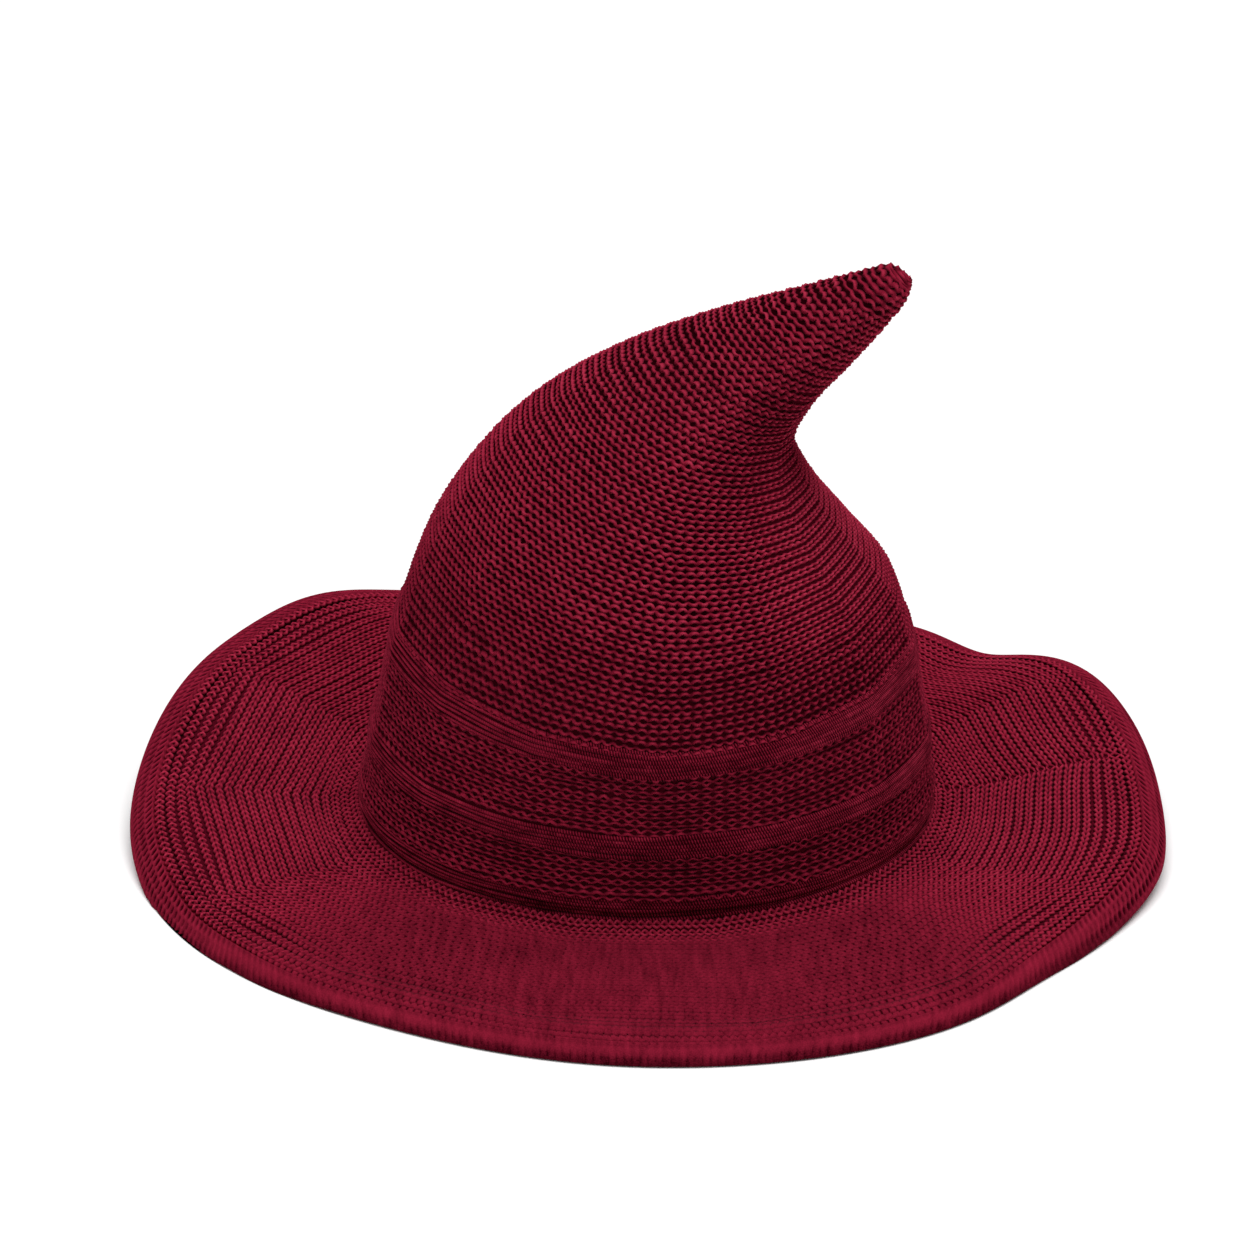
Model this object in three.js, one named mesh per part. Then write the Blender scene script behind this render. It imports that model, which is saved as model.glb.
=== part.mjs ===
// Knitted wizard hat with a bent peak and a wavy brim, standing on the folded hem of its brim.
// Millimetres, +Z up, the front towards -Y and the peak bent towards +X.
import * as THREE from "three";

// Knitted wall, and the clearance where one piece meets the next
const WALL = 2.5;
const JOIN_GAP = 0.3;

// Crown sections from the base to the tip of the peak. Each is a tilted ellipse that crosses the
// hat's left outline and its right outline, and reaches its half depth at the front and the back.
const CROWN_SECTIONS = [
  { leftX: -96.5, leftZ: 17.0, rightX: 97.0, rightZ: 17.0, depth: 97.0 },
  { leftX: -92.5, leftZ: 44.0, rightX: 95.5, rightZ: 42.0, depth: 95.0 },
  { leftX: -86.5, leftZ: 72.0, rightX: 91.5, rightZ: 67.0, depth: 91.5 },
  { leftX: -74.0, leftZ: 108.0, rightX: 83.5, rightZ: 92.5, depth: 82.0 },
  { leftX: -57.0, leftZ: 135.0, rightX: 70.0, rightZ: 109.5, depth: 68.0 },
  { leftX: -36.0, leftZ: 156.0, rightX: 57.0, rightZ: 125.5, depth: 54.0 },
  { leftX: -8.5, leftZ: 172.5, rightX: 49.0, rightZ: 142.0, depth: 39.5 },
  { leftX: 22.0, leftZ: 185.0, rightX: 54.5, rightZ: 155.0, depth: 27.5 },
  { leftX: 49.0, leftZ: 193.5, rightX: 66.5, rightZ: 168.0, depth: 18.0 },
  { leftX: 67.5, leftZ: 199.0, rightX: 77.0, rightZ: 180.0, depth: 11.5 },
  { leftX: 78.5, leftZ: 201.5, rightX: 84.5, rightZ: 190.0, depth: 7.0 },
  { leftX: 85.5, leftZ: 197.0, rightX: 85.5, rightZ: 197.0, depth: 0.0 },
];
const TIP = CROWN_SECTIONS.length - 1;

// Raised welts knitted into the crown: places, half height and relief. Places and heights along the
// crown are section numbers, and one section near the base is about 27 mm tall.
const WELTS = [0.14, 0.88, 1.97];
const WELT_HALF_HEIGHT = 0.17;
const WELT_RELIEF = 1.1;

// Edge of the brim, every 30 degrees from +X round by the back: how far it reaches from the middle,
// how high it stands, and how steeply it turns down, in degrees
const BRIM_EDGE = [
  { reach: 175.0, rise: 7, droop: 62 },
  { reach: 179.0, rise: 21, droop: 50 },
  { reach: 173.0, rise: 12, droop: 48 },
  { reach: 168.0, rise: -1, droop: 50 },
  { reach: 172.0, rise: 24, droop: 40 },
  { reach: 176.0, rise: 28, droop: 42 },
  { reach: 174.5, rise: 7, droop: 60 },
  { reach: 170.5, rise: -1, droop: 62 },
  { reach: 164.0, rise: -1, droop: 55 },
  { reach: 168.0, rise: -1, droop: 55 },
  { reach: 171.5, rise: -1, droop: 55 },
  { reach: 170.5, rise: 0, droop: 58 },
];

// Smaller folds of the edge: the angle of each, its half width in degrees, and what it adds there
const BRIM_FOLDS = [
  { at: 43, spread: 9, reach: -3, rise: -8 },
  { at: 134, spread: 10, reach: 0, rise: 4 },
  { at: 205, spread: 10, reach: 0, rise: -3 },
  { at: 318, spread: 10, reach: -3, rise: 0 },
  { at: 345, spread: 10, reach: 3, rise: 1 },
];

// Profile of the brim: the flare under the crown, and the length of the roll at the edge
const FLARE_OUT = 3.0;
const FLARE_DROP = 13.0;
const EDGE_ROLL = 24.0;

// Folded hem along the edge of the brim
const HEM_WIDTH = 14.0;
const HEM_THICKNESS = 4.5;

// Fineness of the surfaces: sides round the hat, steps along each wall, section numbers per row
const CROWN_SIDES = 48;
const WELT_ROW = 0.1;
const WELTS_END = 2.3;
const PEAK_ROW = 0.3;
const CAVITY_ROW = 0.55;
const CAVITY_END = 9.6;
const BRIM_SIDES = 84;
const BRIM_TOP_STEPS = 8;
const BRIM_UNDERSIDE_STEPS = 5;
const HEM_STEPS = 3;
const HEM_NOSE_STEPS = 6;

const WINE_RED = 0x861b34;

const radians = THREE.MathUtils.degToRad;

// Values from first to last in equal steps no longer than the given one
function stations(first, last, step) {
  const count = Math.ceil((last - first) / step);
  return Array.from({ length: count + 1 }, (_, i) => first + ((last - first) * i) / count);
}

// One point for each side of a ring, from +X round by the back
function ring(sides, pointAt) {
  return Array.from({ length: sides }, (_, i) => pointAt((2 * Math.PI * i) / sides));
}

// Closed surface that passes through rings of points in turn. It ends at two poles, or, with no
// poles, the last ring joins the first one.
function skin(rings, poles = []) {
  const sides = rings[0].length;
  const points = [...rings.flat(), ...poles];
  const faces = [];
  const at = (row, side) => row * sides + (side % sides);
  const joined = poles.length ? rings.length - 1 : rings.length;
  for (let row = 0; row < joined; row++) {
    const next = (row + 1) % rings.length;
    for (let side = 0; side < sides; side++) {
      faces.push(at(row, side), at(row, side + 1), at(next, side + 1));
      faces.push(at(row, side), at(next, side + 1), at(next, side));
    }
  }
  if (poles.length) {
    const last = rings.length - 1;
    const startPole = points.length - 2;
    const endPole = points.length - 1;
    for (let side = 0; side < sides; side++) {
      faces.push(startPole, at(0, side + 1), at(0, side));
      faces.push(at(last, side), at(last, side + 1), endPole);
    }
  }
  const geometry = new THREE.BufferGeometry().setFromPoints(points);
  geometry.setIndex(faces);
  geometry.computeVertexNormals();
  return geometry;
}

// The crown's left and right outlines; y holds the half depth of the section
const outline = (points, closed) => new THREE.CatmullRomCurve3(points, closed, "catmullrom");
const crownLeft = outline(
  CROWN_SECTIONS.map(({ leftX, leftZ, depth }) => new THREE.Vector3(leftX, depth, leftZ)),
);
const crownRight = outline(
  CROWN_SECTIONS.map(({ rightX, rightZ, depth }) => new THREE.Vector3(rightX, depth, rightZ)),
);

// Point of a crown section at an angle, with the section grown by some relief
function crownPoint(section, angle, relief = 0) {
  const left = crownLeft.getPoint(section / TIP);
  const right = crownRight.getPoint(section / TIP);
  const depth = left.y + relief;
  left.y = 0;
  right.y = 0;
  const half = right.clone().sub(left).multiplyScalar(0.5);
  half.setLength(half.length() + relief);
  const point = left.add(right).multiplyScalar(0.5).addScaledVector(half, Math.cos(angle));
  point.y += depth * Math.sin(angle);
  return point;
}

// Point of the crown's hollow: one wall in from the outside, square to the surface
function cavityPoint(section, angle) {
  const nudge = 1e-3;
  const point = crownPoint(section, angle);
  const around = crownPoint(section, angle + nudge).sub(point);
  const upwards = crownPoint(section + nudge, angle).sub(point);
  const outwards = around.cross(upwards).normalize();
  return point.addScaledVector(outwards, -WALL);
}

// Relief of the welts at a section: a smooth swelling at each one
function weltRelief(section) {
  const swell = (place) => Math.exp(-(((section - place) / WELT_HALF_HEIGHT) ** 4));
  return WELT_RELIEF * WELTS.reduce((sum, place) => sum + swell(place), 0);
}

// Crown: a hollow wall from the hollow's top down inside, round the open base and up to the tip,
// with the last ring half a row short of the tip
function crownGeometry() {
  const inside = stations(0, CAVITY_END, CAVITY_ROW).reverse();
  const outside = [
    ...stations(0, WELTS_END, WELT_ROW),
    ...stations(WELTS_END, TIP - PEAK_ROW / 2, PEAK_ROW).slice(1),
  ];
  const cavityTop = crownPoint(CAVITY_END, Math.PI / 2).setY(0);
  const peakTip = crownPoint(TIP, 0);
  return skin(
    [
      ...inside.map((s) => ring(CROWN_SIDES, (angle) => cavityPoint(s, angle))),
      ...outside.map((s) => ring(CROWN_SIDES, (angle) => crownPoint(s, angle, weltRelief(s)))),
    ],
    [cavityTop, peakTip],
  );
}

// Edge of the brim at an angle: x holds the reach, y the rise and z the droop
const brimEdgeRing = outline(
  BRIM_EDGE.map(({ reach, rise, droop }) => new THREE.Vector3(reach, rise, radians(droop))),
  true,
);

function brimEdge(angle) {
  const edge = brimEdgeRing.getPoint(angle / (2 * Math.PI));
  for (const { at, spread, reach, rise } of BRIM_FOLDS) {
    const away = angle - radians(at);
    const turn = Math.atan2(Math.sin(away), Math.cos(away));
    const weight = Math.exp(-((turn / radians(spread)) ** 2));
    edge.x += reach * weight;
    edge.y += rise * weight;
  }
  return edge;
}

// Upper profile of the brim at an angle, as radius and height: out of the crown's base, nearly
// level, and rolled down at the edge
function brimProfile(angle) {
  const { x: reach, y: rise, z: droop } = brimEdge(angle);
  const base = crownPoint(0, angle);
  const start = new THREE.Vector2(Math.hypot(base.x, base.y), base.z - JOIN_GAP);
  return new THREE.CubicBezierCurve(
    start,
    new THREE.Vector2(start.x + FLARE_OUT, start.y - FLARE_DROP),
    new THREE.Vector2(reach - EDGE_ROLL * Math.cos(droop), rise + EDGE_ROLL * Math.sin(droop)),
    new THREE.Vector2(reach, rise),
  );
}

// Point near the brim's profile: a distance along it, a height off it and an amount past it
function brimPoint(profile, angle, along, off, past = 0) {
  const share = along / profile.getLength();
  const tangent = profile.getTangentAt(share);
  const radius = profile.getPointAt(share).x + past * tangent.x - off * tangent.y;
  const height = profile.getPointAt(share).y + past * tangent.y + off * tangent.x;
  return new THREE.Vector3(radius * Math.cos(angle), radius * Math.sin(angle), height);
}

// Brim: one knitted wall from the crown's base to the hem
function brimGeometry() {
  const station = (share, off) => (angle) => {
    const profile = brimProfile(angle);
    const width = profile.getLength() - HEM_WIDTH - JOIN_GAP;
    return brimPoint(profile, angle, share * width, off);
  };
  const underside = stations(0, 1, 1 / BRIM_UNDERSIDE_STEPS);
  const top = stations(0, 1, 1 / BRIM_TOP_STEPS).reverse();
  return skin([
    ...underside.map((share) => ring(BRIM_SIDES, station(share, -WALL))),
    ...top.map((share) => ring(BRIM_SIDES, station(share, 0))),
  ]);
}

// Hem: the folded edge of the brim, thicker than its wall, with a round nose. It is soft, so it is
// flattened where it meets the surface that the hat stands on.
function hemGeometry() {
  const half = HEM_THICKNESS / 2;
  const station = (share, off, past = 0) => (angle) => {
    const profile = brimProfile(angle);
    const along = profile.getLength() - HEM_WIDTH + share * (HEM_WIDTH - half);
    const point = brimPoint(profile, angle, along, off - WALL / 2, past);
    return point.setZ(Math.max(point.z, 0));
  };
  const along = stations(0, 1, 1 / HEM_STEPS);
  const noseTurns = stations(-Math.PI / 2, Math.PI / 2, Math.PI / HEM_NOSE_STEPS).slice(1, -1);
  return skin([
    ...along.map((share) => ring(BRIM_SIDES, station(share, -half))),
    ...noseTurns.map((turn) =>
      ring(BRIM_SIDES, station(1, half * Math.sin(turn), half * Math.cos(turn))),
    ),
    ...along.toReversed().map((share) => ring(BRIM_SIDES, station(share, half))),
  ]);
}

function knitted(name, geometry) {
  const yarn = new THREE.MeshStandardMaterial({ color: WINE_RED, roughness: 0.9, metalness: 0 });
  const mesh = new THREE.Mesh(geometry, yarn);
  mesh.name = name;
  return mesh;
}

const hat = new THREE.Group();
hat.add(knitted("crown", crownGeometry()));
hat.add(knitted("brim", brimGeometry()));
hat.add(knitted("brim_hem", hemGeometry()));

export default hat;
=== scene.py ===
"""Knitted wizard hat: its yarn, courses, welts and rolled hem, laid over the hat's own form."""
from collections import namedtuple

import bpy
import numpy as np
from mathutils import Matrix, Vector


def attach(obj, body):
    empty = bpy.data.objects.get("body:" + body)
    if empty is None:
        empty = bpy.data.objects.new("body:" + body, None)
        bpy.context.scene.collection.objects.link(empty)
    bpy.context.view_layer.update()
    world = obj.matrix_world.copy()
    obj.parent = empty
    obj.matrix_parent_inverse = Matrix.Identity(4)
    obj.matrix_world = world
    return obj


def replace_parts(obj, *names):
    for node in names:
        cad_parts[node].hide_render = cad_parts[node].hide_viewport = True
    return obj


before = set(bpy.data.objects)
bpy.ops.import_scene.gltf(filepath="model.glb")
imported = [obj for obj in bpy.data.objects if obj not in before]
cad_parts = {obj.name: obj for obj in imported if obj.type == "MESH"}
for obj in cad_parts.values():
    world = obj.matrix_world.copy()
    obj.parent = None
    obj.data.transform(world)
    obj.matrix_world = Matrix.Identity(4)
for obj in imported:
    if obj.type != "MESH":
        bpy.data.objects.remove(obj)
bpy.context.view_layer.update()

# Lengths are millimetres and angles radians until a mesh is made; one turn starts at +X, by the back
MM = 0.001
TURN = 2 * np.pi
SEED = 11

# Crown sections from the base to the tip: left x and z, right x and z, half depth
CROWN_SECTIONS = np.array([
    (-96.5, 17.0, 97.0, 17.0, 97.0),
    (-92.5, 44.0, 95.5, 42.0, 95.0),
    (-86.5, 72.0, 91.5, 67.0, 91.5),
    (-74.0, 108.0, 83.5, 92.5, 82.0),
    (-57.0, 135.0, 70.0, 109.5, 68.0),
    (-36.0, 156.0, 57.0, 125.5, 54.0),
    (-8.5, 172.5, 49.0, 142.0, 39.5),
    (22.0, 185.0, 54.5, 155.0, 27.5),
    (49.0, 193.5, 66.5, 168.0, 18.0),
    (67.5, 199.0, 77.0, 180.0, 11.5),
    (78.5, 201.5, 84.5, 190.0, 7.0),
    (85.5, 197.0, 85.5, 197.0, 0.0),
])
TIP = len(CROWN_SECTIONS) - 1
CAVITY_END = 9.6
WALL = 2.5
JOIN_GAP = 0.3

# Raised welts of the crown: places and half height in section numbers, and relief
WELTS = np.array([0.14, 0.88, 1.97])
WELT_HALF_HEIGHT = 0.17
WELT_RELIEF = 1.1

# Edge of the brim every 30 degrees: reach, rise, droop in degrees
BRIM_EDGE = np.array([
    (175.0, 7, 62), (179.0, 21, 50), (173.0, 12, 48), (168.0, -1, 50), (172.0, 24, 40), (176.0, 28, 42),
    (174.5, 7, 60), (170.5, -1, 62), (164.0, -1, 55), (168.0, -1, 55), (171.5, -1, 55), (170.5, 0, 58),
])
# Smaller folds of the edge: angle and half width in degrees, added reach, added rise
BRIM_FOLDS = [(43, 9, -3, -8), (134, 10, 0, 4), (205, 10, 0, -3), (318, 10, -3, 0), (345, 10, 3, 1)]
FLARE_OUT = 3.0
FLARE_DROP = 13.0
EDGE_ROLL = 24.0
HEM_WIDTH = 14.0
HEM_THICKNESS = 4.5

# The hat is knitted in wedges: courses run straight from one wedge line to the next and turn there
WEDGES = 14
WEDGE = TURN / WEDGES
CROWN_WEDGE_LINE = np.radians(219.0)
BRIM_WEDGE_LINE = np.radians(-0.5)

# Course lines of the crown, by section number: rise from the front to the sides and lean to the right,
# both for each mm across
COURSE_LINES = np.array([
    (0.0, 0.00, 0.00),
    (1.0, 0.04, 0.00),
    (2.0, 0.13, 0.00),
    (2.7, 0.24, 0.00),
    (5.0, 0.24, 0.00),
    (6.8, 0.12, 0.10),
    (8.0, 0.00, 0.40),
    (11.0, 0.00, 0.40),
])
FRONT_BEND = 0.25
FRONT_DROP = 0.30

# Distance from strand to strand on the crown, in mm at the front, by section number
STRAND_SPACING = np.array([(0.0, 1.42), (1.9, 1.42), (2.2, 1.95), (5.0, 2.0), (6.0, 2.2), (11.0, 2.4)])

# Camera of the photograph: where it looks, how far off and how high it stands, and its focal length
AIM = np.array([-6.3, 0.0, 74.8])
DISTANCE = 1470.0
ELEVATION = np.radians(22.9)
LENS = 126.65
SENSOR = 36.0

random = np.random.default_rng(SEED)


# Curves and surfaces of the hat's form

def catmull(table, place, closed=False):
    """Rows of a table joined by a uniform Catmull-Rom curve, read at places given as row numbers.

    An open curve carries its first and last steps straight on; a closed one runs round to row 0.
    """
    count = len(table)
    place = np.asarray(place, float)
    row = np.floor(place).astype(int)
    if closed:
        before, here, after, beyond = (table[(row + step) % count] for step in (-1, 0, 1, 2))
    else:
        row = np.clip(row, 0, count - 2)
        padded = np.vstack([2 * table[0] - table[1], table, 2 * table[-1] - table[-2]])
        before, here, after, beyond = (padded[row + step] for step in range(4))
    share = (place - row)[..., None]
    return 0.5 * (
        2 * here
        + (after - before) * share
        + (2 * before - 5 * here + 4 * after - beyond) * share**2
        + (3 * here - before - 3 * after + beyond) * share**3
    )


def smooth_step(low, high, value):
    """0 below low, 1 above high, and 3t^2 - 2t^3 of the share t between them."""
    share = np.clip((value - low) / (high - low), 0, 1)
    return share * share * (3 - 2 * share)


def unit(vectors):
    """Vectors at length 1; one of no length stays 0."""
    return vectors / np.maximum(np.linalg.norm(vectors, axis=-1, keepdims=True), 1e-9)


def wedge_turn(angle, line):
    """Angle from the middle of the wedge that holds each angle, from minus half a wedge to plus half."""
    return (angle - line) % WEDGE - WEDGE / 2


def facet(angle, line):
    """How far a straight chord between two wedge lines lies inside the arc.

    Share of the radius = 1 - cos(half wedge) / cos(turn).
    """
    return 1 - np.cos(WEDGE / 2) / np.cos(wedge_turn(angle, line))


def welt_relief(section):
    """Swelling at each welt: relief * exp(-((section - place) / half height)^4), added up."""
    away = (np.asarray(section)[..., None] - WELTS) / WELT_HALF_HEIGHT
    return WELT_RELIEF * np.exp(-(away**4)).sum(-1)


# Flatness of the crown's wedges, and the sections over which it comes in and goes out
CROWN_FACET = 0.45
FACET_IN = (0.3, 1.3)
FACET_OUT = (8.0, 10.5)


def crown_point(section, angle, relief=0.0):
    """Point of the crown: the middle of a tilted ellipse, plus its half width along cos(angle) and its
    half depth along sin(angle), both grown by the relief and drawn in to the wedges' flat sides."""
    section, angle = np.broadcast_arrays(section, angle)
    left_x, left_z, right_x, right_z, depth = np.moveaxis(catmull(CROWN_SECTIONS, section), -1, 0)
    half_x, half_z = (right_x - left_x) / 2, (right_z - left_z) / 2
    grow = 1 + relief / np.maximum(np.hypot(half_x, half_z), 1e-6)
    flat = CROWN_FACET * smooth_step(*FACET_IN, section) * (1 - smooth_step(*FACET_OUT, section))
    drawn = 1 - flat * facet(angle, CROWN_WEDGE_LINE)
    across = drawn * grow * np.cos(angle)
    return np.stack([
        (left_x + right_x) / 2 + half_x * across,
        drawn * (depth + relief) * np.sin(angle),
        (left_z + right_z) / 2 + half_z * across,
    ], -1)


def course_section(course, angle):
    """Section number along a course: its own number, plus a lift turned into section numbers.

    Lift = half width * (rise * (sqrt(cos^2 + bend^2) - bend - drop) + lean * cos): low at the front and the
    back, high at the sides.
    """
    course, angle = np.broadcast_arrays(course, angle)
    rise = np.interp(course, COURSE_LINES[:, 0], COURSE_LINES[:, 1])
    lean = np.interp(course, COURSE_LINES[:, 0], COURSE_LINES[:, 2])
    left_x, left_z, right_x, right_z, _ = np.moveaxis(catmull(CROWN_SECTIONS, course), -1, 0)
    half = np.hypot(right_x - left_x, right_z - left_z) / 2
    across = np.cos(angle)
    sides = np.sqrt(across**2 + FRONT_BEND**2) - FRONT_BEND - FRONT_DROP
    near = 0.05
    below, above = np.maximum(course - near, 0), np.minimum(course + near, TIP)
    climb = np.linalg.norm(crown_point(above, angle) - crown_point(below, angle), axis=-1) / (above - below)
    return np.clip(course + half * (rise * sides + lean * across) / climb, 0, TIP)


def crown_frame(course, angle):
    """Points of a crown course with the unit directions up along the crown and out of it.

    Both directions come from the differences between near points.
    """
    nudge = 1e-3
    course, angle = np.broadcast_arrays(np.clip(course, 0, TIP - 2 * nudge), angle)
    relief = welt_relief(course)

    def at(course, angle):
        return crown_point(course_section(course, angle), angle, relief)

    point = at(course, angle)
    around = unit(at(course, angle + nudge) - point)
    out = unit(np.cross(around, at(course + nudge, angle) - point))
    return point, unit(np.cross(out, around)), out


def brim_edge(angle):
    """Reach, rise and droop of the brim's edge: a closed curve through its table, plus each fold's bell."""
    edge = catmull(BRIM_EDGE, angle / TURN * len(BRIM_EDGE), closed=True)
    reach, rise, droop = np.moveaxis(edge, -1, 0)
    for at, spread, more_reach, more_rise in BRIM_FOLDS:
        away = (angle - np.radians(at) + np.pi) % TURN - np.pi
        bell = np.exp(-((away / np.radians(spread)) ** 2))
        reach = reach + more_reach * bell
        rise = rise + more_rise * bell
    return reach, rise, np.radians(droop)


BRIM_SIDES = 720
BRIM_STEPS = 240


def brim_sheet():
    """Upper surface of the brim on a grid of angles and equal steps along its profile, with its normals.

    The profile is a cubic Bezier curve in radius and height: out of the crown's base, nearly level, and
    rolled down at the edge. Its points are moved to equal steps of its length.
    """
    angle = np.arange(BRIM_SIDES) * TURN / BRIM_SIDES
    reach, rise, droop = brim_edge(angle)
    base = crown_point(0.0, angle)
    start = np.hypot(base[:, 0], base[:, 1])
    top = base[:, 2] - JOIN_GAP
    ends_r = np.stack([start, start + FLARE_OUT, reach - EDGE_ROLL * np.cos(droop), reach])
    ends_z = np.stack([top, top - FLARE_DROP, rise + EDGE_ROLL * np.sin(droop), rise])
    t = np.linspace(0, 1, 4 * BRIM_STEPS)
    weights = np.stack([(1 - t) ** 3, 3 * t * (1 - t) ** 2, 3 * t**2 * (1 - t), t**3])
    radius, height = ends_r.T @ weights, ends_z.T @ weights
    steps = np.hypot(np.diff(radius), np.diff(height))
    length = np.concatenate([np.zeros((BRIM_SIDES, 1)), np.cumsum(steps, 1)], 1)
    even = np.linspace(0, 1, BRIM_STEPS)
    rows = range(BRIM_SIDES)
    radius = np.stack([np.interp(even * length[i, -1], length[i], radius[i]) for i in rows])
    height = np.stack([np.interp(even * length[i, -1], length[i], height[i]) for i in rows])
    lean_r, lean_z = np.gradient(radius, axis=1), np.gradient(height, axis=1)
    size = np.hypot(lean_r, lean_z)
    cos, sin = np.cos(angle)[:, None], np.sin(angle)[:, None]
    point = np.stack([radius * cos, radius * sin, height], -1)
    out = np.stack([lean_r / size * cos, lean_r / size * sin, lean_z / size], -1)
    ahead = np.roll(point, -1, 0) - np.roll(point, 1, 0)
    return point, unit(np.cross(out, ahead)), out, length[:, -1]


BRIM_POINT, BRIM_UP, BRIM_OUT, BRIM_LENGTH = brim_sheet()


def brim_frame(along, angle):
    """Points of the brim with the unit directions out along it and up from it.

    along is the distance from the crown in mm; the grid is read between its four nearest points.
    """
    turn = (angle / TURN % 1) * BRIM_SIDES
    side = np.floor(turn).astype(int)
    side_share = (turn - side)[..., None]
    side, next_side = side % BRIM_SIDES, (side + 1) % BRIM_SIDES
    step = np.clip(along / brim_length(angle), 0, 1) * (BRIM_STEPS - 1)
    row = np.minimum(np.floor(step).astype(int), BRIM_STEPS - 2)
    row_share = (step - row)[..., None]

    def read(grid):
        near = grid[side, row] * (1 - row_share) + grid[side, row + 1] * row_share
        far = grid[next_side, row] * (1 - row_share) + grid[next_side, row + 1] * row_share
        return near * (1 - side_share) + far * side_share

    return read(BRIM_POINT), unit(read(BRIM_OUT)), unit(read(BRIM_UP))


def brim_length(angle):
    """Length of the brim's profile at each angle, edge included."""
    turns = np.arange(BRIM_SIDES + 1)
    return np.interp((angle / TURN % 1) * BRIM_SIDES, turns, np.append(BRIM_LENGTH, BRIM_LENGTH[0]))


# Meshes

def grid_faces(rows, columns, rows_close=False, columns_close=False):
    """Quads of a grid of points, from each point to the next column and then to the next row."""
    row = np.arange(rows if rows_close else rows - 1)[:, None]
    column = np.arange(columns if columns_close else columns - 1)[None, :]
    next_row, next_column = (row + 1) % rows, (column + 1) % columns
    corners = [row * columns + column, row * columns + next_column,
               next_row * columns + next_column, next_row * columns + column]
    return np.stack(np.broadcast_arrays(*corners), -1).reshape(-1, 4)


def grid_uv(rows, columns):
    """Row and column number of each quad's four corners, running on past a closed seam."""
    row, column = np.meshgrid(np.arange(rows), np.arange(columns), indexing="ij")
    across = np.stack([column, column + 1, column + 1, column], -1)
    along = np.stack([row, row, row + 1, row + 1], -1)
    return along.reshape(-1, 4), across.reshape(-1, 4)


def mesh_piece(name, points, quads, uv, material, triangles=None, triangle_uv=None, **attributes):
    """Object at the origin from points in mm, quads and triangles, with a UV pair for each corner and a
    number for each point in every attribute that is given."""
    corners = quads.ravel()
    starts = np.arange(len(quads)) * 4
    pairs = uv.reshape(-1, 2)
    if triangles is not None:
        starts = np.concatenate([starts, len(corners) + np.arange(len(triangles)) * 3])
        corners = np.concatenate([corners, triangles.ravel()])
        pairs = np.concatenate([pairs, triangle_uv.reshape(-1, 2)])
    mesh = bpy.data.meshes.new(name)
    mesh.vertices.add(len(points))
    mesh.vertices.foreach_set("co", (points * MM).astype(np.float32).ravel())
    mesh.loops.add(len(corners))
    mesh.loops.foreach_set("vertex_index", corners.astype(np.int32))
    mesh.polygons.add(len(starts))
    mesh.polygons.foreach_set("loop_start", starts.astype(np.int32))
    mesh.polygons.foreach_set("use_smooth", np.ones(len(starts), bool))
    mesh.update(calc_edges=True)
    layer = mesh.uv_layers.new(name="UVMap")
    layer.uv.foreach_set("vector", pairs.astype(np.float32).ravel())
    for label, values in attributes.items():
        attribute = mesh.attributes.new(label, "FLOAT", "POINT")
        attribute.data.foreach_set("value", values.astype(np.float32).ravel())
    mesh.materials.append(material)
    piece = bpy.data.objects.new(name, mesh)
    bpy.context.scene.collection.objects.link(piece)
    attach(piece, "root")
    return piece


# Corners of a strand's section, as shares of its half width across and half thickness out: a round
# roof outwards over a flat foot
STRAND_CORNERS = np.array([(0.0, 1.0), (-1.0, -0.55), (1.0, -0.55)])


# Strand of yarn ready for a mesh: corner points, stitches along it, tone and felt of each corner, and the
# way that its plies turn, 1 or -1, with the stitch that they start at
Strand = namedtuple("Strand", "corners stitches looks hand start")


def strand(
    centre, out, half_width, half_thickness, stitches, tone,
    felt=0.0, foot=0.0, shift=0.0, hand=1, start=0.0,
):
    """Closed strand of yarn: its section carried along a closed path, square to the path and to the cloth.

    Corner = centre + across * half width * (out x along) + height * half thickness * out, with the top
    corner moved across by shift. felt tells how matted it is, or below 0 how clear its plies are, and foot
    how much darker its foot is than its top, as painted shade.
    """
    along = unit(np.roll(centre, -1, 0) - np.roll(centre, 1, 0))
    across = unit(np.cross(out, along))
    out = np.cross(along, across)
    sides = STRAND_CORNERS[None, :, :]
    width = np.broadcast_to(half_width, len(centre))[:, None, None]
    thickness = np.broadcast_to(half_thickness, len(centre))[:, None, None]
    points = (
        centre[:, None, :]
        + across[:, None, :] * sides[..., :1] * width
        + out[:, None, :] * sides[..., 1:] * thickness
    )
    points[:, 0] += across * np.broadcast_to(shift, len(centre))[:, None]
    tone, felt, foot = (np.broadcast_to(value, len(centre))[:, None] for value in (tone, felt, foot))
    # The foot is darker than the top by foot, as painted shade
    tones = tone - foot * (sides[..., 1] < 0)
    looks = np.stack([tones.ravel(), np.broadcast_to(felt, tones.shape).ravel()])
    return Strand(points.reshape(-1, 3), stitches, looks, hand, start)


def yarn_piece(name, strands, material):
    """Strands joined in one mesh. UV u counts the stitches along a strand, and v goes once round it."""
    sides = len(STRAND_CORNERS)
    points, quads, pairs, looks = [], [], [], []
    first = 0
    for one in strands:
        stations = len(one.corners) // sides
        along, across = grid_uv(stations, sides)
        points.append(one.corners)
        looks.append(one.looks)
        quads.append(grid_faces(stations, sides, True, True) + first)
        pairs.append(np.stack([one.start + along * one.stitches / stations, one.hand * across / sides], -1))
        first += len(one.corners)
    tone, felt = np.concatenate(looks, 1)
    return mesh_piece(
        name, np.concatenate(points), np.concatenate(quads), np.concatenate(pairs), material,
        tone=tone, felt=felt,
    )


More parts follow.
